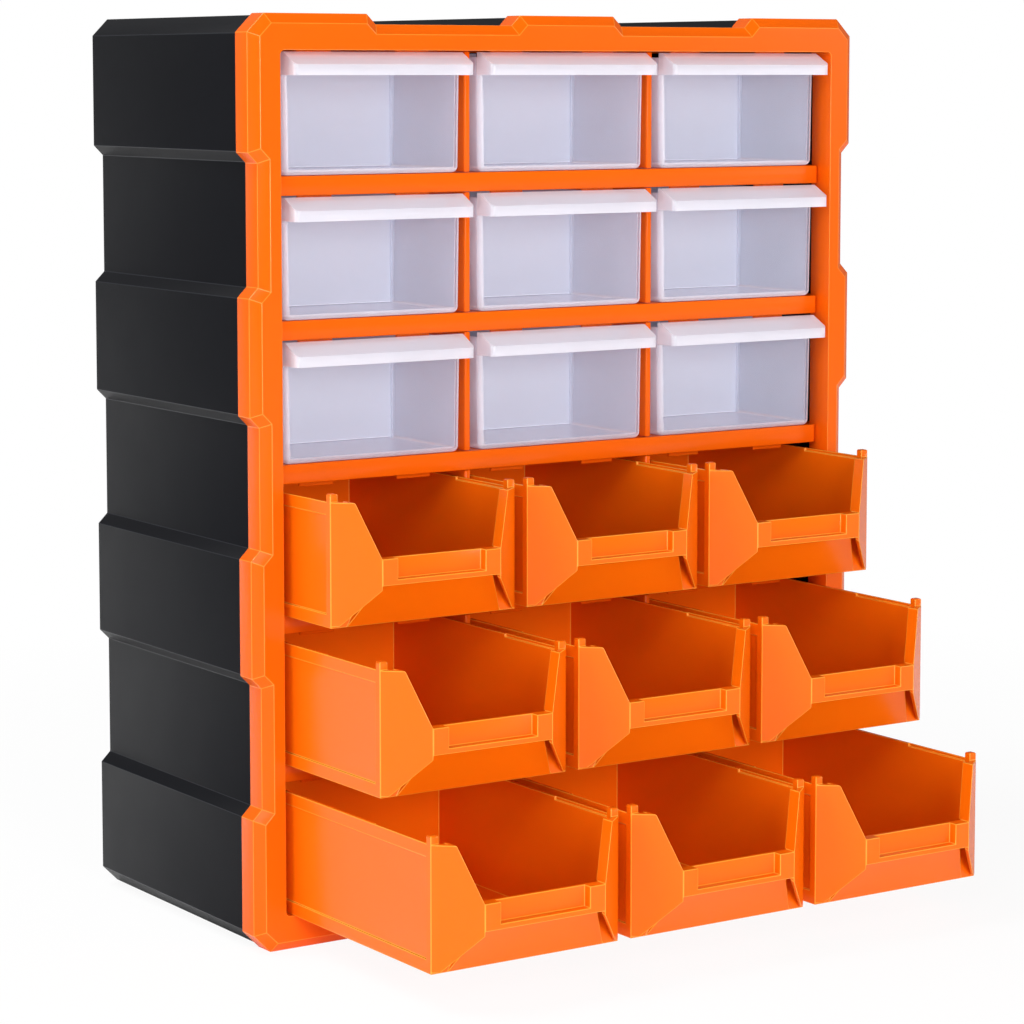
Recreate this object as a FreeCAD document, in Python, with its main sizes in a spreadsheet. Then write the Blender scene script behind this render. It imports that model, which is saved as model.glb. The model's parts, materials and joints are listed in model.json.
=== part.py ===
import FreeCAD, Part
import Sketcher
import math
import os

# A free-standing parts bin cabinet: a notched plastic shell with a bevelled front frame, an interlocked
# grid of shelves and column dividers, three rows of clear drawers and three rows of open-front bins.
# Lengths are millimetres. X runs across the front, Y to the rear and Z up. The origin is on the floor,
# below the middle of the space that the cabinet fills with its bins pulled out as they stand at rest.

SIZES = {
    # cabinet
    "CabinetWide": 380, "CabinetDeep": 175, "CabinetHigh": 470,
    # stepped outline of the frame and the shell
    "CornerCut": 9.4, "StepDeep": 5.2, "RaisedLong": 59,
    # front frame
    "BevelWide": 5, "BevelDeep": 4.2, "FlangeDeep": 12, "FrameSkin": 3, "FlangeWall": 3.5,
    "ReturnWall": 2.5, "SideRim": 16.5, "BottomRim": 18, "TopRim": 18.1, "OpeningRound": 2.5,
    # shell
    "ShellStep": 1, "ShellWall": 2.5,
    "KeyholeApart": 200, "KeyholeDrop": 60, "KeyholeHeadRound": 4.5, "KeyholeNeckRound": 2.3, "KeyholeRise": 9,
    # grid
    "ShelfInset": 10, "ShelfThick": 9.8, "ShelfPlate": 2.4, "ShelfLip": 2.4, "ShelfRound": 2,
    "DividerThick": 3.5, "DividerSetback": 0.4, "DividerRound": 1, "LowerBayExtra": 3.7,
    "GuideHigh": 2.6, "GuideGap": 0.6, "GuideSetback": 30, "TabWide": 20, "TabThick": 1.6, "TabDrop": 2.8,
    # clearances
    "Seat": 0.3, "RearGap": 4.5, "Overrun": 1,
    # clear drawer
    "DrawerSideGap": 3.55, "DrawerDraft": 1, "DrawerFrontInset": 8, "DrawerHeadroom": 3.5, "HoodHeadroom": 1.1,
    "CatchHeadroom": 0.8, "CatchInset": 3.6, "DrawerWall": 1.6, "DrawerRound": 3.2,
    "HoodFlat": 1.2, "HoodReach": 13, "HoodDrop": 6.3, "HoodLip": 5.3, "HoodRound": 2.4,
    "InsertInset": 64, "InsertThick": 1.6, "InsertBelowRim": 6.8, "InsertGap": 0.3, "RibWide": 1.2, "RibDeep": 1.4,
    # open bin
    "BinSideGap": 2.05, "BinHeadroom": 3.7, "BinRearHeadroom": 1.1, "BinWall": 2, "BinSweep": 17,
    "RailInset": 19.5, "RailLow": 21.5, "RailHigh": 13.3, "RailDeep": 6.8,
    "LabelInset": 9, "LabelDeep": 4.8, "LabelSill": 2.8,
    "ChinInset": 5, "ChinTopInset": 21, "ChinBottomInset": 9,
    "WingThick": 2, "WingTopWide": 9.4, "WingTipWide": 3.3, "WingFoot": 1, "ReturnDeep": 8, "ReturnThick": 1.8,
    "PanelRecess": 0.8, "BorderTop": 6.4, "BorderBottom": 6.8, "BorderFront": 4.5,
    "NubWide": 4.4, "NubLong": 4, "NubHigh": 4, "NubRound": 0.8, "LedgeDrop": 1.6, "LedgeWide": 1, "LedgeLong": 52,
}
# Sizes that follow from those above. The bays share what the rims and shelves leave of the opening, and the
# drawers and bins fill their bays but for the gaps.
FOLLOWING = {
    "ColumnPitch": "( CabinetWide - 2 * SideRim ) / 3",
    "UpperBayHigh": "( CabinetHigh - BottomRim - TopRim - 5 * ShelfThick - 3 * LowerBayExtra ) / 6",
    "LowerBayHigh": "UpperBayHigh + LowerBayExtra",
    "DrawerWide": "ColumnPitch - DividerThick - 2 * DrawerSideGap",
    "DrawerHigh": "UpperBayHigh - DrawerHeadroom",
    "DrawerHoodHigh": "UpperBayHigh - HoodHeadroom",
    "DrawerRearHigh": "UpperBayHigh - CatchHeadroom",
    "HoodInnerRound": "HoodRound - DrawerWall",
    "InsertHigh": "DrawerHigh - InsertBelowRim",
    "BinWide": "ColumnPitch - DividerThick - 2 * BinSideGap",
    "BinHigh": "LowerBayHigh - BinHeadroom",
    "BinRearHigh": "LowerBayHigh - BinRearHeadroom",
    "RailWide": "BinWide - 2 * RailInset",
    "LabelWide": "RailWide - 2 * LabelInset",
    "ChinTopWide": "BinWide - 2 * ChinTopInset",
    "ChinBottomWide": "BinWide - 2 * ChinBottomInset",
    # depths from the frame's front plane, and the lengths that they leave for drawers and bins
    "ShellSeam": "BevelDeep + FlangeDeep",
    "GridRear": "CabinetDeep - ShellWall - Seat",
    "TrayRear": "CabinetDeep - ShellWall - RearGap",
    "DrawerLong": "TrayRear - DrawerFrontInset",
    "BinShut": "ShelfInset - BinSweep - NubLong",
    "BinLong": "TrayRear - BinShut",
    # the rear of the stop tabs, and the farthest that a bin's rail stands out when it meets them
    "StopRear": "ShellSeam + Seat + ShelfLip",
    "BinReach": "BinLong - BinWall - StopRear - Seat",
}
# How far the bins of rows 4, 5 and 6 stand out at rest, of their full reach.
REST_SHARES = {4: 0.355, 5: 0.646, 6: 0.932}
COLUMNS = ("left", "middle", "right")

doc = FreeCAD.newDocument("parts_bin_cabinet")
sheet = doc.addObject("Spreadsheet::Sheet", "Sizes")
cells = {alias: str(size) for alias, size in SIZES.items()}
cells.update({alias: "=" + formula for alias, formula in FOLLOWING.items()})
for line, (alias, content) in enumerate(cells.items(), start=1):
    sheet.set(f"A{line}", alias)
    sheet.set(f"B{line}", content)
    sheet.setAlias(f"B{line}", alias)
doc.recompute()
V = type("Values", (), {alias: float(sheet.get(alias)) for alias in cells})


# A run of words becomes an expression: every alias in it is read from the sheet.
def bound(text):
    words = text.replace("(", " ( ").replace(")", " ) ").split()
    return " ".join("Sizes." + word if word in cells else word for word in words)


# The same run of words, worked out as a number.
def value(text):
    words = text.replace("(", " ( ").replace(")", " ) ").split()
    total = " ".join(f"{V.__dict__[word]:.9f}" if word in cells else word for word in words)
    return float(FreeCAD.Units.Quantity(total).Value)


HALF_WIDE = "CabinetWide / 2"
SHELL_FLOOR = "( StepDeep + ShellStep + ShellWall )"
PANEL_HALF = f"( CabinetWide / 2 - {SHELL_FLOOR} - Seat )"
LAP = "( ( ShelfInset + GridRear ) / 2 )"


# Heights of the bay floors, from row 1 at the top to row 6 at the bottom.
def floor_of(row):
    if row > 3:
        return f"( BottomRim + {6 - row} * ( LowerBayHigh + ShelfThick ) )"
    return f"( BottomRim + 3 * ( LowerBayHigh + ShelfThick ) + {3 - row} * ( UpperBayHigh + ShelfThick ) )"


CEILING = "( BottomRim + 3 * ( LowerBayHigh + ShelfThick ) + 2 * ( UpperBayHigh + ShelfThick ) + UpperBayHigh )"

# Sketch planes: "plan" lies flat, "front" faces the viewer and "side" is seen from the right.
TURNS = {
    "plan": FreeCAD.Rotation(),
    "front": FreeCAD.Rotation(FreeCAD.Vector(1, 0, 0), 90),
    "side": FreeCAD.Rotation(FreeCAD.Vector(1, 1, 1), 120),
}
NORMALS = {"plan": FreeCAD.Vector(0, 0, 1), "front": FreeCAD.Vector(0, 1, 0), "side": FreeCAD.Vector(1, 0, 0)}
OFFSETS = {"plan": "z", "front": "y", "side": "x"}
made = {}


def new(kind, name):
    made[name] = made.get(name, 0) + 1
    return doc.addObject(kind, f"{name}_{made[name]}")


# A closed outline whose corners are each held by two sizes.
def outline(name, plane, at, corners):
    sketch = new("Sketcher::SketchObject", name)
    sketch.Placement = FreeCAD.Placement(FreeCAD.Vector(), TURNS[plane])
    sketch.setExpression(f"Placement.Base.{OFFSETS[plane]}", bound(at))
    points = [FreeCAD.Vector(value(x), value(y), 0) for x, y in corners]
    count = len(points)
    for index in range(count):
        sketch.addGeometry(Part.LineSegment(points[index], points[(index + 1) % count]))
    for index in range(count):
        sketch.addConstraint(Sketcher.Constraint("Coincident", index, 2, (index + 1) % count, 1))
    for index, (x, y) in enumerate(corners):
        across = sketch.addConstraint(Sketcher.Constraint("DistanceX", -1, 1, index, 1, points[index].x))
        sketch.setExpression(f"Constraints[{across}]", bound(x))
        up = sketch.addConstraint(Sketcher.Constraint("DistanceY", -1, 1, index, 1, points[index].y))
        sketch.setExpression(f"Constraints[{up}]", bound(y))
    return sketch


def extrude(name, plane, at, corners, length):
    body = new("Part::Extrusion", name)
    body.Base = outline(name + "_outline", plane, at, corners)
    body.DirMode = "Custom"
    body.Dir = NORMALS[plane]
    body.Solid = True
    body.setExpression("LengthFwd", bound(length))
    return body


def box(name, low, high):
    body = new("Part::Box", name)
    for side, axis, first, last in zip(("Length", "Width", "Height"), "xyz", low, high):
        body.setExpression(side, bound(f"( {last} ) - ( {first} )"))
        body.setExpression(f"Placement.Base.{axis}", bound(first))
    return body


def fuse(name, parts):
    body = new("Part::MultiFuse", name)
    body.Shapes = parts
    body.Refine = True
    return body


def common(name, parts):
    body = new("Part::MultiCommon", name)
    body.Shapes = parts
    return body


def cut(name, base, tools):
    body = new("Part::Cut", name)
    body.Base = base
    body.Tool = tools[0] if len(tools) == 1 else fuse(name + "_tools", tools)
    body.Refine = True
    return body


# Rounds the edges that a test picks, each edge given as its middle and its direction.
def round_edges(name, base, radius, wanted):
    doc.recompute()
    picked = []
    for index, edge in enumerate(base.Shape.Edges, start=1):
        first, last = edge.Vertexes[0].Point, edge.Vertexes[-1].Point
        if wanted((first + last) * 0.5, last - first):
            picked.append((index, V.__dict__[radius], V.__dict__[radius]))
    body = new("Part::Fillet", name)
    body.Base = base
    body.Edges = picked
    return body


# A frustum from a lower to an upper rectangle, each as (x low, x high, y low, y high).
def frustum(name, low, high, z_low, z_high):
    body = new("Part::Loft", name)
    sections = []
    for label, (x1, x2, y1, y2), z in (("low", low, z_low), ("high", high, z_high)):
        sections.append(outline(f"{name}_{label}", "plan", z, [(x1, y1), (x2, y1), (x2, y2), (x1, y2)]))
    body.Sections = sections
    body.Solid = True
    body.Ruled = True
    return body


# The stepped outline of the cabinet, seen from the front, moved inwards by the given inset.
def stepped_outline(inset):
    slant = f"{math.tan(math.radians(22.5)):.9f} * ( {inset} )"
    right = f"CabinetWide / 2 - ( {inset} )"
    top = f"CabinetHigh - ( {inset} )"
    flat = "( ( CabinetHigh - 2 * CornerCut - 4 * RaisedLong - 6 * StepDeep ) / 3 )"
    side = [(right, f"CornerCut + {slant}")]
    for level in range(3):
        start = f"CornerCut + {level + 1} * RaisedLong + {level} * ( {flat} + 2 * StepDeep )"
        side.append((right, f"{start} - {slant}"))
        side.append((f"{right} - StepDeep", f"{start} + StepDeep - {slant}"))
        side.append((f"{right} - StepDeep", f"{start} + StepDeep + {flat} + {slant}"))
        side.append((right, f"{start} + 2 * StepDeep + {flat} + {slant}"))
    side.append((right, f"CabinetHigh - CornerCut - {slant}"))
    edge = [
        (f"CabinetWide / 2 - CornerCut - {slant}", top),
        (f"CabinetWide / 2 - CornerCut - RaisedLong + {slant}", top),
        (f"CabinetWide / 2 - CornerCut - RaisedLong - StepDeep + {slant}", f"{top} - StepDeep"),
        (f"RaisedLong / 2 + StepDeep - {slant}", f"{top} - StepDeep"),
        (f"RaisedLong / 2 - {slant}", top),
    ]
    quarter = side + edge
    low_edge = [(x, f"CabinetHigh - ( {y} )") for x, y in reversed(edge)]
    right_half = low_edge + quarter
    return right_half + [(f"0 - ( {x} )", y) for x, y in reversed(right_half)]


def build_shell():
    outer = extrude("shell_outer", "front", "ShellSeam + Seat", stepped_outline("ShellStep"),
                    "CabinetDeep - ShellSeam - Seat")
    hollow = extrude("shell_hollow", "front", "ShellSeam - Overrun", stepped_outline("ShellStep + ShellWall"),
                     "CabinetDeep - ShellWall - ShellSeam + Overrun")
    tools = [hollow]
    for sign in ("-1", "1"):
        middle = f"{sign} * KeyholeApart / 2"
        foot = "CabinetHigh - KeyholeDrop"
        for radius, height in (("KeyholeHeadRound", foot), ("KeyholeNeckRound", foot + " + KeyholeRise")):
            hole = new("Part::Cylinder", "keyhole_round")
            hole.Placement = FreeCAD.Placement(FreeCAD.Vector(), FreeCAD.Rotation(FreeCAD.Vector(1, 0, 0), -90))
            hole.setExpression("Radius", bound(radius))
            hole.setExpression("Height", bound("ShellWall + 2 * Overrun"))
            hole.setExpression("Placement.Base.x", bound(middle))
            hole.setExpression("Placement.Base.y", bound("CabinetDeep - ShellWall - Overrun"))
            hole.setExpression("Placement.Base.z", bound(height))
            tools.append(hole)
        tools.append(box("keyhole_neck",
                         (f"{middle} - KeyholeNeckRound", "CabinetDeep - ShellWall - Overrun", foot),
                         (f"{middle} + KeyholeNeckRound", "CabinetDeep + Overrun", foot + " + KeyholeRise")))
    return cut("shell", outer, tools)


def build_frame():
    bevel = new("Part::Loft", "frame_bevel")
    bevel.Sections = [
        outline("frame_face", "front", "0", stepped_outline("BevelWide")),
        outline("frame_edge", "front", "BevelDeep", stepped_outline("0")),
    ]
    bevel.Solid = True
    bevel.Ruled = True
    flange = extrude("frame_flange", "front", "BevelDeep", stepped_outline("0"), "FlangeDeep")
    solid = fuse("frame_solid", [bevel, flange])
    half = f"( {HALF_WIDE} - SideRim )"
    opening = box("frame_opening", (f"0 - {half}", "0 - Overrun", "BottomRim"),
                  (half, "ShellSeam + Overrun", CEILING))
    rounded = round_edges("frame_opening_round", opening, "OpeningRound",
                          lambda middle, run: abs(run.y) > abs(run.x) + abs(run.z))
    ring = extrude("frame_ring", "front", "FrameSkin", stepped_outline("FlangeWall"),
                   "ShellSeam - FrameSkin + Overrun")
    core = box("frame_return", (f"0 - {half} - ReturnWall", "0", "BottomRim - ReturnWall"),
               (f"{half} + ReturnWall", "ShellSeam", f"{CEILING} + ReturnWall"))
    hollow = cut("frame_hollow", ring, [core])
    return cut("frame", solid, [hollow, rounded])


# One floor of the grid: a plate with lips all round, open below and slotted from the rear. Those between
# two rows have a nose that reaches forward between the frame's walls.
def build_panel(name, top, thick, tray_wide, tabs, nose):
    half = PANEL_HALF
    start = "( ShellSeam + Seat )"
    under = f"( {top} - {thick} )"
    plate = box(name + "_block", (f"0 - {half}", start, under), (half, "GridRear", top))
    hollow_front = f"{start} + ShelfLip"
    if nose:
        side = f"( {HALF_WIDE} - SideRim - Seat )"
        front = box(name + "_nose", (f"0 - {side}", "ShelfInset", under), (side, f"{start} + ShelfLip", top))
        rounded = round_edges(name + "_nose_round", front, "ShelfRound",
                              lambda middle, run: abs(run.z) > 0 and middle.y < V.ShelfInset + V.Seat)
        plate = fuse(name + "_block_and_nose", [plate, rounded])
        hollow_front = "ShelfInset + ShelfLip"
    well = [box(name + "_underside", (f"0 - {half} + ShelfLip", f"{start} + ShelfLip", f"{under} - Overrun"),
                (f"{half} - ShelfLip", "GridRear - ShelfLip", f"{top} - ShelfPlate"))]
    if nose:
        well.append(box(name + "_nose_underside", (f"0 - {side} + ShelfLip", hollow_front, f"{under} - Overrun"),
                        (f"{side} - ShelfLip", f"{start} + 2 * ShelfLip", f"{top} - ShelfPlate")))
    tools = list(well)
    parts = []
    for sign in ("-1", "1"):
        middle = f"{sign} * ColumnPitch / 2"
        reach = "DividerThick / 2 + Seat"
        tools.append(box(name + "_slot", (f"{middle} - ( {reach} )", LAP, f"{under} - Overrun"),
                         (f"{middle} + {reach}", "GridRear + Overrun", f"{top} + GuideHigh + Overrun")))
    for column in ("-1", "0", "1"):
        middle = f"{column} * ColumnPitch"
        if tray_wide:
            near = f"( {tray_wide} / 2 + GuideGap )"
            far = "( ColumnPitch / 2 - DividerThick / 2 - Seat )"
            for low, high in ((f"{middle} - {far}", f"{middle} - {near}"), (f"{middle} + {near}", f"{middle} + {far}")):
                parts.append(box(name + "_guide", (low, "ShelfInset + GuideSetback", f"{top} - ShelfPlate"),
                                 (high, "GridRear", f"{top} + GuideHigh")))
        if tabs:
            for side_sign in ("-1", "1"):
                centre = f"{middle} + {side_sign} * ColumnPitch / 4"
                parts.append(box(name + "_tab",
                                 (f"{centre} - TabWide / 2", "StopRear - TabThick", f"{under} - TabDrop"),
                                 (f"{centre} + TabWide / 2", "StopRear", f"{top} - ShelfPlate / 2")))
    # The underside is cut first, so that the guides and tabs stay whole.
    tray = cut(name + "_tray", plate, tools)
    return fuse(name, [tray] + parts) if parts else tray


# An upright of the grid, notched from the front over every floor.
def build_column_divider(name, sign):
    middle = f"{sign} * ColumnPitch / 2"
    front = "( ShelfInset + DividerSetback )"
    low = f"( {SHELL_FLOOR} + Seat )"
    high = f"( CabinetHigh - {SHELL_FLOOR} - Seat )"
    plate = box(name + "_plate", (f"{middle} - DividerThick / 2", front, low),
                (f"{middle} + DividerThick / 2", "GridRear", high))
    nose = V.ShelfInset + V.DividerSetback
    rounded = round_edges(name + "_round", plate, "DividerRound",
                          lambda point, run: abs(run.z) > 0 and abs(run.x) + abs(run.y) == 0
                          and abs(point.y - nose) < V.Seat)
    notches = []
    for floor, thick in FLOORS:
        notches.append(box(name + "_notch",
                           (f"{middle} - DividerThick", f"{front} - Overrun", f"{floor} - {thick} - Seat"),
                           (f"{middle} + DividerThick", f"{LAP} + Seat", f"{floor} + Seat")))
    return cut(name, rounded, notches)


# A clear drawer: a drafted box with a hooded pull along the top of its front. Its front is at y = 0.
def build_drawer():
    half = "( DrawerWide / 2 )"
    outer = frustum("drawer_outer",
                    (f"0 - {half} + DrawerDraft", f"{half} - DrawerDraft", "0",
                     "DrawerLong - DrawerDraft"),
                    (f"0 - {half}", half, "0", "DrawerLong"),
                    "0", "DrawerHigh")
    shaped = round_edges("drawer_round", outer, "DrawerRound",
                         lambda middle, run: middle.z < V.DrawerHigh - V.DrawerWall)
    inner = frustum("drawer_inner",
                    (f"0 - {half} + DrawerDraft + DrawerWall", f"{half} - DrawerDraft - DrawerWall", "DrawerWall",
                     "DrawerLong - DrawerDraft - DrawerWall"),
                    (f"0 - {half} + DrawerWall", f"{half} - DrawerWall", "DrawerWall",
                     "DrawerLong - DrawerWall"),
                    "DrawerWall", "DrawerHigh + Overrun")
    hollow = round_edges("drawer_hollow", inner, "DrawerWall",
                         lambda middle, run: middle.z < V.DrawerHigh - V.DrawerWall)
    tub = cut("drawer_tub", shaped, [hollow])
    top = "DrawerHoodHigh"
    low = "( DrawerHoodHigh - HoodDrop - HoodLip )"
    cover = extrude("drawer_hood", "side", f"0 - {half}", [
        ("DrawerWall", top), ("0 - HoodFlat", top), ("0 - HoodReach", f"{top} - HoodDrop"),
        ("0 - HoodReach", low), ("0", low), ("DrawerWall", low)], "DrawerWide")
    eased = round_edges("drawer_hood_round", cover, "HoodRound",
                        lambda middle, run: abs(run.z) > 0 and abs(run.x) + abs(run.y) < V.Seat
                        and middle.y < V.DrawerWall - V.HoodReach)
    under = extrude("drawer_hood_under", "side", f"0 - {half} + DrawerWall", [
        ("0", f"{top} - DrawerWall"), ("0 - HoodFlat", f"{top} - DrawerWall"),
        ("0 - HoodReach + DrawerWall", f"{top} - HoodDrop - DrawerWall"),
        ("0 - HoodReach + DrawerWall", f"{low} - Overrun"), ("0", f"{low} - Overrun")],
        "DrawerWide - 2 * DrawerWall")
    inner_round = round_edges("drawer_hood_under_round", under, "HoodInnerRound",
                              lambda middle, run: abs(run.z) > 0 and abs(run.x) + abs(run.y) < V.Seat
                              and middle.y < 2 * V.DrawerWall - V.HoodReach)
    pull = cut("drawer_pull", eased, [inner_round])
    catch = box("drawer_catch", (f"0 - {half} + CatchInset", "DrawerLong - DrawerWall", "DrawerHigh - DrawerWall"),
                (f"{half} - CatchInset", "DrawerLong", "DrawerRearHigh"))
    ribs = []
    wall = f"( {half} - DrawerWall )"
    for step in ("0 - RibWide - InsertGap", "InsertThick + InsertGap"):
        start = f"InsertInset + {step}"
        for low_x, high_x in ((f"0 - {wall} - DrawerDraft / 2", f"0 - {wall} + DrawerDraft + RibDeep"),
                              (f"{wall} - DrawerDraft - RibDeep", f"{wall} + DrawerDraft / 2")):
            ribs.append(box("drawer_rib", (low_x, start, "DrawerWall / 2"),
                            (high_x, f"{start} + RibWide", "InsertHigh")))
    return fuse("drawer", [tub, pull, catch] + ribs)


# The loose cross divider of a drawer, standing between two pairs of ribs.
def build_insert():
    foot = "( DrawerWide / 2 - DrawerDraft - DrawerWall - InsertGap )"
    head = "( DrawerWide / 2 - DrawerWall - InsertGap )"
    return frustum("insert",
                   (f"0 - {foot}", foot, "InsertInset", "InsertInset + InsertThick"),
                   (f"0 - {head}", head, "InsertInset", "InsertInset + InsertThick"),
                   "DrawerWall + InsertGap", "InsertHigh")


# An open bin with a swept scoop front. Its label rail is at y = 0.
def build_bin():
    half = "( BinWide / 2 )"
    rail = "( RailWide / 2 )"
    rail_top = "( RailLow + RailHigh )"
    sweep = "BinSweep"
    behind = "( BinSweep + BinWall )"
    zero = "0"
    outer = [
        box("bin_tub", (f"0 - {half}", sweep, zero), (half, "BinLong", "BinHigh")),
        frustum("bin_chin",
                ("0 - ChinBottomWide / 2", "ChinBottomWide / 2", sweep, behind),
                ("0 - ChinTopWide / 2", "ChinTopWide / 2", "ChinInset", behind), zero, "RailLow"),
        extrude("bin_nose", "plan", "RailLow", [
            (f"0 - {rail}", zero), (rail, zero), (half, sweep), (half, behind), (f"0 - {half}", behind),
            (f"0 - {half}", sweep)], "BinHigh - RailLow"),
        box("bin_rear", (f"0 - {half} + BinWall", "BinLong - BinWall", "BinHigh - BinWall"),
            (f"{half} - BinWall", "BinLong", "BinRearHigh")),
    ]
    inner = [
        box("bin_well", (f"0 - {half} + BinWall", behind, "BinWall"),
            (f"{half} - BinWall", "BinLong - BinWall", "BinRearHigh + Overrun")),
        frustum("bin_chin_well",
                ("0 - ChinBottomWide / 2 + BinWall", "ChinBottomWide / 2 - BinWall", behind, f"{behind} + BinWall"),
                ("0 - ChinTopWide / 2 + BinWall", "ChinTopWide / 2 - BinWall", "ChinInset + BinWall",
                 f"{behind} + BinWall"), "BinWall", "RailLow + BinWall"),
        extrude("bin_nose_well", "plan", "RailLow + BinWall", [
            (f"0 - {rail} + WingThick / 2", "RailDeep"), (f"{rail} - WingThick / 2", "RailDeep"),
            (f"{rail} + WingThick", "RailDeep"), (f"{half} - WingThick", f"{behind}"),
            (f"{half} - WingThick", f"{behind} + BinWall"), (f"0 - {half} + WingThick", f"{behind} + BinWall"),
            (f"0 - {half} + WingThick", behind), (f"0 - {rail} - WingThick", "RailDeep")],
            "BinRearHigh"),
        extrude("bin_scoop", "front", "0 - Overrun", [
            (f"0 - {rail}", rail_top), (rail, rail_top), (f"{half} - WingTopWide", "BinHigh"),
            (f"{half} - WingTopWide", "BinHigh + Overrun"), (f"0 - {half} + WingTopWide", "BinHigh + Overrun"),
            (f"0 - {half} + WingTopWide", "BinHigh")], f"{behind} + 2 * Overrun"),
        box("bin_label", ("0 - LabelWide / 2", "0 - Overrun", "RailLow + LabelSill"),
            ("LabelWide / 2", "LabelDeep", f"{rail_top} + Overrun")),
    ]
    for side, reach in (("-1", "PanelRecess + Overrun"), ("1", "PanelRecess")):
        low = f"{side} * {half} - ( {reach} )" if side == "1" else f"0 - {half} - Overrun"
        high = f"{half} + Overrun" if side == "1" else f"0 - {half} + PanelRecess"
        inner.append(box("bin_side_panel", (low, f"{sweep} + BorderFront", "BorderBottom"),
                         (high, "BinLong - BorderFront", "BinHigh - BorderTop")))
        edge = (f"{half} - BinWall", f"{half} - BinWall + LedgeWide")
        if side == "-1":
            edge = (f"0 - {half} + BinWall - LedgeWide", f"0 - {half} + BinWall")
        inner.append(box("bin_ledge", (edge[0], f"{sweep} + NubLong + BinWall", "BinHigh - LedgeDrop"),
                         (edge[1], f"{sweep} + LedgeLong", "BinHigh + Overrun")))
    hollow = cut("bin_hollow", fuse("bin_outer", outer), inner)
    extras = [hollow]
    for mirror in ("1", "-1"):
        strip = [(f"{mirror} * {rail}", zero), (f"{mirror} * {half}", sweep),
                 (f"{mirror} * {half}", f"{sweep} + WingThick"),
                 (f"{mirror} * ( {rail} - WingThick / 2 )", "WingThick")]
        fin = extrude("bin_fin_plan", "plan", "WingFoot", strip, "RailLow + BinWall - WingFoot")
        face = extrude("bin_fin_face", "front", "0 - Overrun", [
            (f"{mirror} * {half}", "WingFoot"), (f"{mirror} * ( {half} - WingTipWide )", "WingFoot"),
            (f"{mirror} * ( {rail} - WingThick )", "RailLow"),
            (f"{mirror} * ( {rail} - WingThick )", "RailLow + BinWall"),
            (f"{mirror} * {half}", "RailLow + BinWall")], f"{behind} + 2 * Overrun")
        extras.append(common("bin_fin", [fin, face]))
        fold = extrude("bin_return_plan", "plan", f"{rail_top} - BinWall", [
            (f"{mirror} * {rail}", zero), (f"{mirror} * {half}", sweep),
            (f"{mirror} * {half}", f"{sweep} + ReturnDeep"), (f"{mirror} * {rail}", "ReturnDeep")],
            f"BinHigh - {rail_top} + BinWall")
        band = extrude("bin_return_face", "front", "0 - Overrun", [
            (f"{mirror} * {rail}", rail_top), (f"{mirror} * ( {half} - WingTopWide )", "BinHigh"),
            (f"{mirror} * ( {half} - WingTopWide + ReturnThick )", "BinHigh"),
            (f"{mirror} * ( {rail} + ReturnThick )", rail_top)], f"{behind} + ReturnDeep")
        extras.append(common("bin_return", [fold, band]))
        near, far = f"{half} - NubWide", half
        if mirror == "-1":
            near, far = f"0 - {half}", f"0 - {half} + NubWide"
        nub = box("bin_nub", (near, sweep, "BinHigh - BinWall"), (far, f"{sweep} + NubLong", "BinHigh + NubHigh"))
        extras.append(round_edges("bin_nub_round", nub, "NubRound",
                                  lambda middle, run: middle.z > V.BinHigh + V.NubHigh - V.NubRound / 2
                                  and middle.y < V.BinSweep + V.NubLong - V.NubRound / 2))
    return fuse("bin", extras)


FLOORS = [(floor_of(row), "ShelfThick") for row in range(1, 6)]
FLOORS.append((floor_of(6), f"( BottomRim - {SHELL_FLOOR} - Seat )"))
TOP_THICK = f"( CabinetHigh - {SHELL_FLOOR} - Seat - {CEILING} )"
TOP_PLANE = f"( CabinetHigh - {SHELL_FLOOR} - Seat )"
FLOORS.append((TOP_PLANE, TOP_THICK))

nodes = {
    "outer_shell": (build_shell(), (0, 0, 0)),
    "front_frame": (build_frame(), (0, 0, 0)),
    "top_panel": (build_panel("top_panel", TOP_PLANE, TOP_THICK, "", True, False), (0, 0, 0)),
    "base_panel": (build_panel("base_panel", floor_of(6), FLOORS[5][1], "BinWide", False, False), (0, 0, 0)),
}
for row in range(1, 6):
    wide = "DrawerWide" if row < 4 else "BinWide"
    panel = build_panel(f"shelf{row}", floor_of(row), "ShelfThick", wide, True, True)
    nodes[f"shelf_below_row_{row}"] = (panel, (0, 0, 0))
nodes["column_divider_left"] = (build_column_divider("divider_left", "-1"), (0, 0, 0))
nodes["column_divider_right"] = (build_column_divider("divider_right", "1"), (0, 0, 0))

doc.recompute()
drawer, insert, open_bin = build_drawer(), build_insert(), build_bin()
doc.recompute()
for row in range(1, 7):
    height = value(floor_of(row)) + V.Seat
    for column, name in enumerate(COLUMNS):
        across = (column - 1) * V.ColumnPitch
        if row < 4:
            place = (across, V.DrawerFrontInset, height)
            nodes[f"clear_drawer_row_{row}_{name}"] = (drawer, place)
            nodes[f"drawer_divider_row_{row}_{name}"] = (insert, place)
        else:
            place = (across, -REST_SHARES[row] * V.BinReach, height)
            nodes[f"open_bin_row_{row}_{name}"] = (open_bin, place)

front = (REST_SHARES[6] * V.BinReach - V.CabinetDeep) / 2
finished = []
for name, (source, (x, y, z)) in nodes.items():
    piece = doc.addObject("Part::Feature", name)
    piece.Label = name
    piece.Shape = source.Shape
    piece.Placement = FreeCAD.Placement(FreeCAD.Vector(x, y + front, z), FreeCAD.Rotation())
    finished.append(piece)
doc.recompute()

for item in doc.Objects:
    if any(word in ("Invalid", "Error") for word in item.State):
        raise RuntimeError(f"{item.Label} failed: {item.State}")
for piece in finished:
    if piece.Shape.isNull() or not piece.Shape.isValid() or not piece.Shape.Solids:
        raise RuntimeError(f"{piece.Label} has no valid solid")

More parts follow.
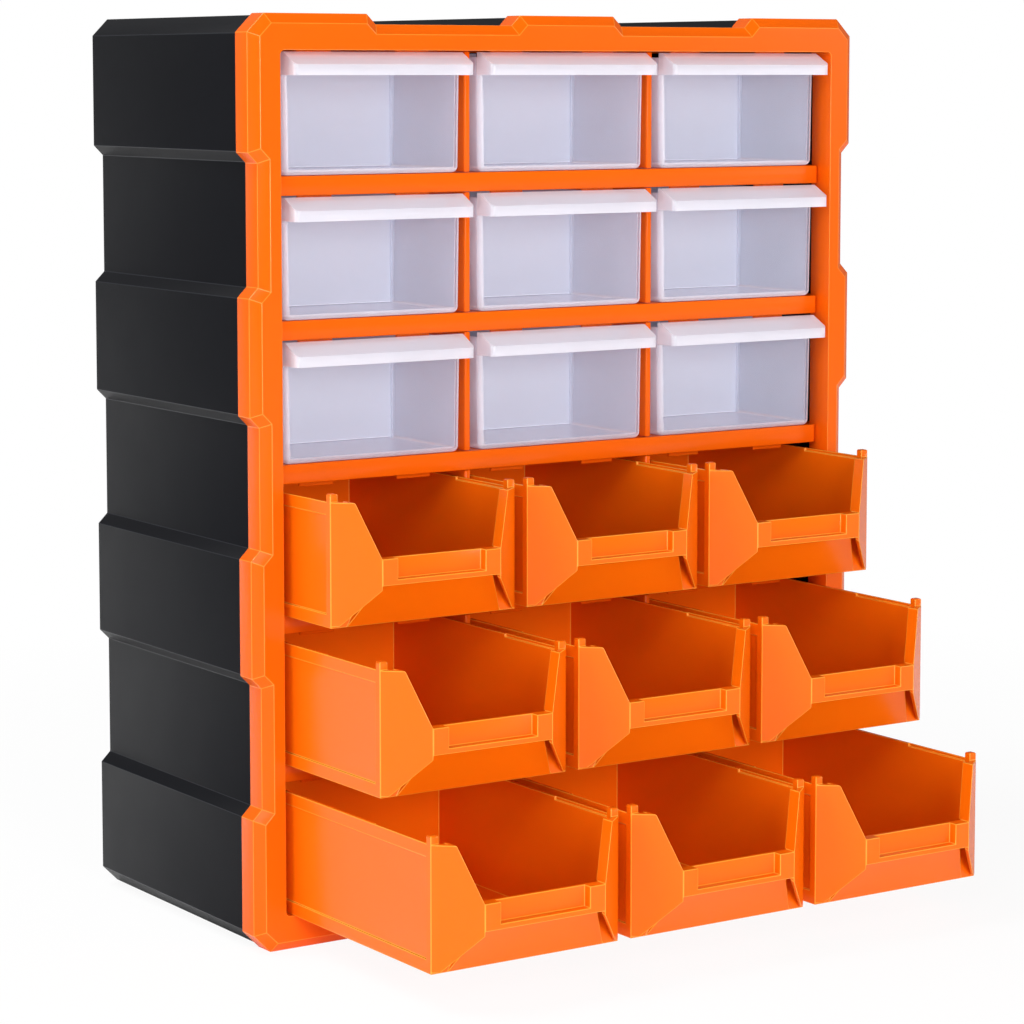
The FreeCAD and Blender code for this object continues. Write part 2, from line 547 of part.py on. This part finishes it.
os.makedirs("parts", exist_ok=True)
for piece in finished:
    piece.Shape.exportStep(f"parts/{piece.Label}.step")
    size = piece.Shape.BoundBox
    print(piece.Label, len(piece.Shape.Solids), round(piece.Shape.Volume / 1000, 1),
          [round(edge, 1) for edge in (size.XMin, size.YMin, size.ZMin, size.XMax, size.YMax, size.ZMax)])
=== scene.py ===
import json
import math

import bmesh
import bpy
import numpy as np
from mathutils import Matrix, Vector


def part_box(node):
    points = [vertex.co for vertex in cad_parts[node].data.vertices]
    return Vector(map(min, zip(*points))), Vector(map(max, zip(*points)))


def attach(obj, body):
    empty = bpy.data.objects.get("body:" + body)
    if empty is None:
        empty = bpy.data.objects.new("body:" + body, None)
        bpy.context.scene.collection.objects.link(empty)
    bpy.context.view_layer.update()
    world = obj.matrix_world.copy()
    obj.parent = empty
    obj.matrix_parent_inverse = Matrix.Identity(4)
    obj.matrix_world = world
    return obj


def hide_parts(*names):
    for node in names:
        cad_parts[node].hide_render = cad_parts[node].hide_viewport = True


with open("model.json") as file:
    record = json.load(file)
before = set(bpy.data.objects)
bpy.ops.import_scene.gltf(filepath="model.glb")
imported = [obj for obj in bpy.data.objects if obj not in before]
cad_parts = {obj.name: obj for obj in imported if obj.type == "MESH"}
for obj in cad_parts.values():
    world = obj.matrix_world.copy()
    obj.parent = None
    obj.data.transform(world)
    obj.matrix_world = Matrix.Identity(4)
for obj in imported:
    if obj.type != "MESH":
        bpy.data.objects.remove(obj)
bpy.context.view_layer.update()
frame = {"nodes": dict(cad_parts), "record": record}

# The view of the photograph: from the cabinet's left, a little above its middle and looking slightly down.
# The lens is shifted down a little, as the photograph's upright edges stay nearly parallel.
PICTURE_PIXELS = 1024
FOCAL_PIXELS = 3220
SENSOR_WIDTH = 36
NEAREST_SEEN = 0.01
VIEW_TURN = 33.67
VIEW_DOWN = 5.63
VIEW_PLACE = (-0.9585, -1.3969, 0.4412)
LENS_SHIFT = -0.12

camera = bpy.data.objects.new("camera", bpy.data.cameras.new("camera"))
bpy.context.scene.collection.objects.link(camera)
camera.location = VIEW_PLACE
camera.rotation_euler = (math.radians(90 - VIEW_DOWN), 0, math.radians(-VIEW_TURN))
camera.data.sensor_width = SENSOR_WIDTH
camera.data.lens = FOCAL_PIXELS / PICTURE_PIXELS * camera.data.sensor_width
camera.data.shift_y = LENS_SHIFT
camera.data.clip_start = NEAREST_SEEN
bpy.context.scene.camera = camera
bpy.context.scene.view_settings.view_transform = "Standard"

# Studio: a pale floor with a faint glow, in a surround that is brighter behind the cabinet than on the
# camera's side, and five soft lights. The camera sees floor and surround as white, but for the cabinet's
# soft shadow, which fades out with the distance.
WHITE = (1, 1, 1, 1)
FLOOR_COLOUR = (0.86, 0.86, 0.86)
FLOOR_ROUGHNESS = 0.9
FLOOR_GLOW = 0.22
FLOOR_REACH = 6.0
SHADOW_SHARE = 0.1
SHADOW_NEAR = 0.45
SHADOW_FAR = 0.9
SURROUND_BEHIND = 0.22
SURROUND_IN_FRONT = 0.06
BRIGHTENS_FROM = -0.2
BRIGHTENS_TO = 0.3


def ramp(tree, source, low, high, start, stop):
    """A value that goes from start to stop as the source goes from low to high."""
    node = tree.nodes.new("ShaderNodeMapRange")
    for name, value in (("From Min", low), ("From Max", high), ("To Min", start), ("To Max", stop)):
        node.inputs[name].default_value = value
    tree.links.new(source, node.inputs["Value"])
    return node.outputs["Result"]


def combined(tree, operation, *values):
    """The named operation done on values that are numbers or the outputs of other nodes."""
    node = tree.nodes.new("ShaderNodeMath")
    node.operation = operation
    for socket, value in zip(node.inputs, values):
        if isinstance(value, bpy.types.NodeSocket):
            tree.links.new(value, socket)
        else:
            socket.default_value = value
    return node.outputs[0]


def seen_white(tree):
    """1 where the camera looks, also through clear parts."""
    path = tree.nodes.new("ShaderNodeLightPath")
    return combined(tree, "MAXIMUM", path.outputs["Is Camera Ray"], path.outputs["Is Transmission Ray"])


def mix_white(tree, kind, share, shader_out, to_socket):
    """Mixes a shader with plain white of strength 1 by the given share."""
    white = tree.nodes.new(kind)
    white.inputs["Color"].default_value = WHITE
    mix = tree.nodes.new("ShaderNodeMixShader")
    tree.links.new(share, mix.inputs[0])
    tree.links.new(shader_out, mix.inputs[1])
    tree.links.new(white.outputs[0], mix.inputs[2])
    tree.links.new(mix.outputs[0], to_socket)


world = bpy.data.worlds.new("surround")
bpy.context.scene.world = world
world.use_nodes = True
sky_tree = world.node_tree
sky = sky_tree.nodes["Background"]
sky.inputs["Color"].default_value = WHITE
direction = sky_tree.nodes.new("ShaderNodeSeparateXYZ")
sky_place = sky_tree.nodes.new("ShaderNodeTexCoord")
sky_tree.links.new(sky_place.outputs["Generated"], direction.inputs[0])
sky_strength = ramp(sky_tree, direction.outputs["Y"], BRIGHTENS_FROM, BRIGHTENS_TO,
                    SURROUND_IN_FRONT, SURROUND_BEHIND)
sky_tree.links.new(sky_strength, sky.inputs["Strength"])
mix_white(sky_tree, "ShaderNodeBackground", seen_white(sky_tree), sky.outputs[0],
          sky_tree.nodes["World Output"].inputs["Surface"])

floor_mesh = bpy.data.meshes.new("floor")
corners = [(x * FLOOR_REACH, y * FLOOR_REACH, 0) for x, y in ((-1, -1), (1, -1), (1, 1), (-1, 1))]
floor_mesh.from_pydata(corners, [], [(0, 1, 2, 3)])
floor = bpy.data.objects.new("floor", floor_mesh)
bpy.context.scene.collection.objects.link(floor)
floor_finish = bpy.data.materials.new("studio_floor")
floor_finish.use_nodes = True
floor_tree = floor_finish.node_tree
floor_surface = floor_tree.nodes["Principled BSDF"]
floor_surface.inputs["Base Color"].default_value = (*FLOOR_COLOUR, 1)
floor_surface.inputs["Roughness"].default_value = FLOOR_ROUGHNESS
floor_surface.inputs["Emission Color"].default_value = WHITE
floor_surface.inputs["Emission Strength"].default_value = FLOOR_GLOW
floor_place = floor_tree.nodes.new("ShaderNodeTexCoord")
floor_distance = floor_tree.nodes.new("ShaderNodeVectorMath")
floor_distance.operation = "LENGTH"
floor_tree.links.new(floor_place.outputs["Object"], floor_distance.inputs[0])
floor_white = ramp(floor_tree, floor_distance.outputs["Value"], SHADOW_NEAR, SHADOW_FAR, 1 - SHADOW_SHARE, 1)
floor_share = combined(floor_tree, "MULTIPLY", floor_white, seen_white(floor_tree))
mix_white(floor_tree, "ShaderNodeEmission", floor_share, floor_surface.outputs[0],
          floor_tree.nodes["Material Output"].inputs["Surface"])
floor_mesh.materials.append(floor_finish)

# Each light has its place, the point that it faces, its width in metres and its power in watts.
LOW_MIDDLE = (0, 0, 0.2)
MIDDLE = (0, 0, 0.3)
SOFT_LIGHTS = {
    "key_light": ((-1.6, -1.7, 1.6), LOW_MIDDLE, 0.9, 14),
    "left_light": ((-2.2, -0.3, 0.7), LOW_MIDDLE, 0.8, 12),
    "right_light": ((2.0, -1.6, 0.9), LOW_MIDDLE, 0.8, 14),
    "front_light": ((-0.6, -2.4, 0.6), LOW_MIDDLE, 0.8, 30),
    "top_light": ((-0.9, 0.5, 1.9), MIDDLE, 1.0, 22),
}


def soft_light(name, place, aim, size, power):
    """A square area lamp at a place, turned to face the aim point."""
    lamp = bpy.data.objects.new(name, bpy.data.lights.new(name, "AREA"))
    bpy.context.scene.collection.objects.link(lamp)
    lamp.location = place
    way = np.subtract(aim, place)
    tilt = math.acos(-way[2] / np.linalg.norm(way))
    turn = math.atan2(way[1], way[0]) - math.pi / 2
    lamp.rotation_euler = (tilt, 0, turn)
    lamp.data.size = size
    lamp.data.energy = power


for name, values in SOFT_LIGHTS.items():
    soft_light(name, *values)

# Outer shell: one black moulding, a sleeve with its back closed. Its stepped sides, top and bottom stiffen
# it, and the front frame closes over its open end. Like every piece here it is a copy of the part's own
# solid, with its edges eased as a mould leaves them, and it moves with that part.
BLACK = (0.0052, 0.0056, 0.0078)
# The shell's rolled edges get a lighter black than the shell: a painted highlight.
BLACK_EDGE_HIGHLIGHT_COLOUR = (0.014, 0.015, 0.02)
SHELL_EASE = 0.0007
EDGE_ANGLE = math.radians(28)
FLAT_ANGLE = math.radians(0.5)
MERGE_GAP = 1e-6
ROLL_STEPS = 2
MOST_CORNERS_OF_A_ROUND = 4
EDGE_FINISH = 1
body_of_node = {}
for body, members in frame["record"]["behaviour"]["bodies"].items():
    for member in members:
        body_of_node[member] = body


def eased_copy(node, ease, finishes, hold_back=True):
    """Copies a part's mesh, joins its flat triangles into faces and rolls its sharp edges over. Faces with
    many corners are flat ones, and stay so; the rest may be part of a round and are shaded smooth. The first
    finish is the surface's, the second the rolled edges'; where the second is lighter, it is a painted
    highlight. Held back, the rolls are narrowed so that none overlaps."""
    source = frame["nodes"][node].data
    work = bmesh.new()
    work.from_mesh(source)
    bmesh.ops.remove_doubles(work, verts=work.verts, dist=MERGE_GAP)
    bmesh.ops.dissolve_limit(work, angle_limit=FLAT_ANGLE, verts=work.verts, edges=work.edges)
    mesh = bpy.data.meshes.new(node + "_moulding")
    work.to_mesh(mesh)
    work.free()
    mesh.materials.clear()
    for finish in finishes:
        mesh.materials.append(finish)
    corner_counts = np.empty(len(mesh.polygons), dtype=np.int32)
    mesh.polygons.foreach_get("loop_total", corner_counts)
    mesh.polygons.foreach_set("use_smooth", corner_counts <= MOST_CORNERS_OF_A_ROUND)
    piece = bpy.data.objects.new(node + "_moulding", mesh)
    bpy.context.scene.collection.objects.link(piece)
    bevel = piece.modifiers.new("eased_edges", "BEVEL")
    bevel.width = ease
    bevel.segments = ROLL_STEPS
    bevel.limit_method = "ANGLE"
    bevel.angle_limit = EDGE_ANGLE
    bevel.harden_normals = True
    bevel.use_clamp_overlap = hold_back
    # The rolled edges take the second finish; a lighter one there is a painted highlight.
    bevel.material = EDGE_FINISH
    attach(piece, body_of_node[node])
    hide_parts(node)
    return piece


BROAD_SCALE = 9
BROAD_DETAIL = 2
BROAD_LOW = 0.3
BROAD_HIGH = 0.7
PATCH_SCALE = 34
PATCH_DETAIL = 3
NOISE_MIDDLE = 0.5
GRAIN_DETAIL = 2
GRAIN_STRENGTH = 0.35


def moulded_skin():
    """The faint unevenness of moulded plastic. Broad noise darkens the colour by up to Shade Change, patchy
    noise moves the roughness by up to half of Gloss Change either way, and fine noise is the grain's
    height."""
    group = bpy.data.node_groups.new("moulded_skin", "ShaderNodeTree")
    for name, kind in (("Colour", "NodeSocketColor"), ("Shade Change", "NodeSocketFloat"),
                       ("Roughness", "NodeSocketFloat"), ("Gloss Change", "NodeSocketFloat"),
                       ("Grain Size", "NodeSocketFloat")):
        group.interface.new_socket(name, in_out="INPUT", socket_type=kind)
    for name, kind in (("Colour", "NodeSocketColor"), ("Roughness", "NodeSocketFloat"),
                       ("Height", "NodeSocketFloat")):
        group.interface.new_socket(name, in_out="OUTPUT", socket_type=kind)
    nodes, links = group.nodes, group.links
    given, result = nodes.new("NodeGroupInput"), nodes.new("NodeGroupOutput")
    place = nodes.new("ShaderNodeTexCoord")

    broad = nodes.new("ShaderNodeTexNoise")
    broad.inputs["Scale"].default_value = BROAD_SCALE
    broad.inputs["Detail"].default_value = BROAD_DETAIL
    links.new(place.outputs["Object"], broad.inputs["Vector"])
    shade = ramp(group, broad.outputs["Fac"], BROAD_LOW, BROAD_HIGH, 0, 1)
    darkest = combined(group, "SUBTRACT", 1, given.outputs["Shade Change"])
    links.new(darkest, shade.node.inputs["To Min"])
    shaded = nodes.new("ShaderNodeVectorMath")
    shaded.operation = "SCALE"
    links.new(given.outputs["Colour"], shaded.inputs[0])
    links.new(shade, shaded.inputs["Scale"])
    links.new(shaded.outputs["Vector"], result.inputs["Colour"])

    patchy = nodes.new("ShaderNodeTexNoise")
    patchy.inputs["Scale"].default_value = PATCH_SCALE
    patchy.inputs["Detail"].default_value = PATCH_DETAIL
    links.new(place.outputs["Object"], patchy.inputs["Vector"])
    centred = combined(group, "SUBTRACT", patchy.outputs["Fac"], NOISE_MIDDLE)
    gloss = combined(group, "MULTIPLY_ADD", centred, given.outputs["Gloss Change"],
                     given.outputs["Roughness"])
    links.new(gloss, result.inputs["Roughness"])

    grain = nodes.new("ShaderNodeTexNoise")
    grain.inputs["Detail"].default_value = GRAIN_DETAIL
    links.new(place.outputs["Object"], grain.inputs["Vector"])
    links.new(given.outputs["Grain Size"], grain.inputs["Scale"])
    links.new(grain.outputs["Fac"], result.inputs["Height"])
    return group


SKIN = moulded_skin()


def plastic(name, colour, roughness, shade_change=0.03, gloss_change=0.05, grain=900, grain_deep=0.00002,
            **extra):
    """A moulded plastic whose colour, gloss and grain come from the shared skin group."""
    finish = bpy.data.materials.new(name)
    finish.use_nodes = True
    nodes, links = finish.node_tree.nodes, finish.node_tree.links
    surface = nodes["Principled BSDF"]
    skin = nodes.new("ShaderNodeGroup")
    skin.node_tree = SKIN
    skin.inputs["Colour"].default_value = (*colour, 1)
    skin.inputs["Shade Change"].default_value = shade_change
    skin.inputs["Roughness"].default_value = roughness
    skin.inputs["Gloss Change"].default_value = gloss_change
    skin.inputs["Grain Size"].default_value = grain
    links.new(skin.outputs["Colour"], surface.inputs["Base Color"])
    links.new(skin.outputs["Roughness"], surface.inputs["Roughness"])
    bump = nodes.new("ShaderNodeBump")
    bump.inputs["Strength"].default_value = GRAIN_STRENGTH
    bump.inputs["Distance"].default_value = grain_deep
    links.new(skin.outputs["Height"], bump.inputs["Height"])
    links.new(bump.outputs["Normal"], surface.inputs["Normal"])
    for socket, value in extra.items():
        surface.inputs[socket.replace("_", " ")].default_value = value
    return finish


black_plastic = plastic("black_satin_plastic", BLACK, roughness=0.42, shade_change=0.1, gloss_change=0.08,
                        grain=700, grain_deep=0.00004, Specular_IOR_Level=0.13)
# Lighter black for the rolled edges: a painted highlight.
black_edge_highlight = plastic("black_painted_edge_highlight", BLACK_EDGE_HIGHLIGHT_COLOUR, roughness=0.35, Specular_IOR_Level=0.3)
shell = eased_copy("outer_shell", SHELL_EASE, [black_plastic, black_edge_highlight])

# Front frame: an orange moulding with a bevelled outer edge that follows the shell's steps, and a return
# wall round the opening.
ORANGE = (0.95, 0.135, 0.002)
# The frame's rolled edges get a lighter orange than the frame: a painted highlight.
ORANGE_EDGE_HIGHLIGHT_COLOUR = (1.0, 0.24, 0.018)
FRAME_EASE = 0.0008
orange_frame = plastic("orange_frame_plastic", ORANGE, roughness=0.25, Specular_IOR_Level=0.18)
# Lighter orange for the rolled edges: a painted highlight.
orange_edge_highlight = plastic("orange_painted_edge_highlight", ORANGE_EDGE_HIGHLIGHT_COLOUR, roughness=0.25, Specular_IOR_Level=0.35)
front_frame = eased_copy("front_frame", FRAME_EASE, [orange_frame, orange_edge_highlight])

# Shelves, floor, ceiling and uprights: the grid inside the shell, moulded in the same orange and slotted
# into each other like an egg crate.
GRID = ["top_panel", "base_panel"] + [f"shelf_below_row_{row}" for row in range(1, 6)]
PANEL_EASE = 0.0005
for node in GRID + ["column_divider_left", "column_divider_right"]:
    panel = eased_copy(node, PANEL_EASE, [orange_frame, orange_frame])

# Clear drawers: thin milky-clear boxes with a hooded pull, in the three upper rows, each with a loose cross
# divider standing between ribs.
COLUMNS = ("left", "middle", "right")
CLEAR = (0.78, 0.82, 0.98)
# The hood's plastic is whiter and glows more than the walls: painted light falling on it from above.
HOOD_TOPLIGHT_COLOUR = (0.93, 0.91, 0.97)
# The rounded corners' plastic is whiter, pinker and glows more than the walls: a painted highlight.
RIM_HIGHLIGHT_COLOUR = (0.96, 0.90, 0.96)
# Rolled edges of drawers and dividers get a whiter, more opaque plastic with a stronger glow: a painted
# highlight.
CLEAR_EDGE_HIGHLIGHT_COLOUR = (1.0, 0.96, 1.0)
CLEAR_DIVIDER = (0.88, 0.90, 1.0)
CLEAR_GLOW = (0.74, 0.80, 1.0)
SLANT_BLEND = 0.35
DRAWER_EASE = 0.0004
DIVIDER_EASE = 0.0004
HOOD_REACH = 0.013
HOOD_MARGIN = 0.0002
FRONT_WALL = 0.002
FACING_FRONT = 0.7
ROUNDED = 0.97


def clear_plastic(name, colour, facing, edge_on, roughness, glow):
    """Milky clear plastic: it hides more of what is behind it where it is seen edge on, and a faint glow of
    its own stands in for the light that spreads inside it."""
    finish = plastic(name, colour, roughness, shade_change=0.02, gloss_change=0.04, grain=400)
    nodes, links = finish.node_tree.nodes, finish.node_tree.links
    surface = nodes["Principled BSDF"]
    surface.inputs["Emission Color"].default_value = (*CLEAR_GLOW, 1)
    surface.inputs["Emission Strength"].default_value = glow
    slant = nodes.new("ShaderNodeLayerWeight")
    slant.inputs["Blend"].default_value = SLANT_BLEND
    cover = ramp(finish.node_tree, slant.outputs["Facing"], 0, 1, facing, edge_on)
    links.new(cover, surface.inputs["Alpha"])
    return finish


drawer_plastic = clear_plastic("clear_drawer_plastic", CLEAR,
                               facing=0.42, edge_on=0.9, roughness=0.16, glow=0.05)
# Hood: painted light from above.
hood_toplight_plastic = clear_plastic("clear_hood_painted_toplight", HOOD_TOPLIGHT_COLOUR,
                             facing=0.45, edge_on=0.9, roughness=0.16, glow=0.08)
front_plastic = clear_plastic("clear_front_plastic", CLEAR,
                              facing=0.05, edge_on=0.6, roughness=0.12, glow=0.05)
# Rounded corners: a painted highlight.
rim_highlight_plastic = clear_plastic("clear_rim_painted_highlight", RIM_HIGHLIGHT_COLOUR,
                            facing=0.3, edge_on=0.85, roughness=0.16, glow=0.1)
# Rolled edges: a painted highlight.
clear_edge_highlight = clear_plastic("clear_painted_edge_highlight", CLEAR_EDGE_HIGHLIGHT_COLOUR,
                             facing=0.85, edge_on=0.95, roughness=0.16, glow=0.3)
divider_plastic = clear_plastic("clear_divider_plastic", CLEAR_DIVIDER,
                                facing=0.45, edge_on=0.95, roughness=0.2, glow=0.14)
DRAWER_FINISHES = [drawer_plastic, clear_edge_highlight, hood_toplight_plastic, front_plastic, rim_highlight_plastic]
WALL_FINISH, HOOD_TOPLIGHT_FINISH, FRONT_FINISH, RIM_HIGHLIGHT_FINISH = 0, 2, 3, 4


def dress_drawer(piece, node):
    """The hood, which lies in front of the front wall, gets whiter plastic: painted light falling from
    above.
    The rounded corners, whose normals lie along no axis, get whiter plastic too: a painted highlight. The
    front wall's own faces are clearer than the rest."""
    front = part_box(node)[0].y + HOOD_REACH
    count = len(piece.data.polygons)
    centres = np.empty(count * 3)
    normals = np.empty(count * 3)
    piece.data.polygons.foreach_get("center", centres)
    piece.data.polygons.foreach_get("normal", normals)
    depth = centres.reshape(-1, 3)[:, 1] - front
    squareness = np.abs(normals.reshape(-1, 3))
    hood = depth < -HOOD_MARGIN
    front_wall = (squareness[:, 1] > FACING_FRONT) & ~hood & (depth < FRONT_WALL)
    # Rounded corners get the whiter plastic, a painted highlight.
    rim = (squareness.max(axis=1) < ROUNDED) & ~hood
    finish_of_face = np.select([hood, rim, front_wall], [HOOD_TOPLIGHT_FINISH, RIM_HIGHLIGHT_FINISH, FRONT_FINISH], WALL_FINISH)
    piece.data.polygons.foreach_set("material_index", finish_of_face.astype(np.int32))


for row in range(1, 4):
    for column in COLUMNS:
        node = f"clear_drawer_row_{row}_{column}"
        drawer = eased_copy(node, DRAWER_EASE, DRAWER_FINISHES)
        dress_drawer(drawer, node)
        node = f"drawer_divider_row_{row}_{column}"
        divider = eased_copy(node, DIVIDER_EASE, [divider_plastic, clear_edge_highlight], hold_back=False)

# Open bins: orange mouldings with bordered sides, a swept scoop front and a label rail, in the three lower
# rows.
BIN_ORANGE = (0.97, 0.165, 0.002)
# The bins' rolled edges get a lighter, yellower orange than the bins: a painted highlight.
BIN_EDGE_HIGHLIGHT_COLOUR = (1.0, 0.36, 0.03)
BIN_EASE = 0.0004
orange_bin = plastic("orange_bin_plastic", BIN_ORANGE, roughness=0.25, shade_change=0, gloss_change=0.02,
                     grain_deep=0.00001, Specular_IOR_Level=0.25)
# Lighter orange for the bins' rolled edges: a painted highlight.
bin_edge_highlight = plastic("orange_bin_painted_edge_highlight", BIN_EDGE_HIGHLIGHT_COLOUR, roughness=0.25, Specular_IOR_Level=0.4)
for row in range(4, 7):
    for column in COLUMNS:
        node = f"open_bin_row_{row}_{column}"
        open_bin = eased_copy(node, BIN_EASE, [orange_bin, bin_edge_highlight], hold_back=False)
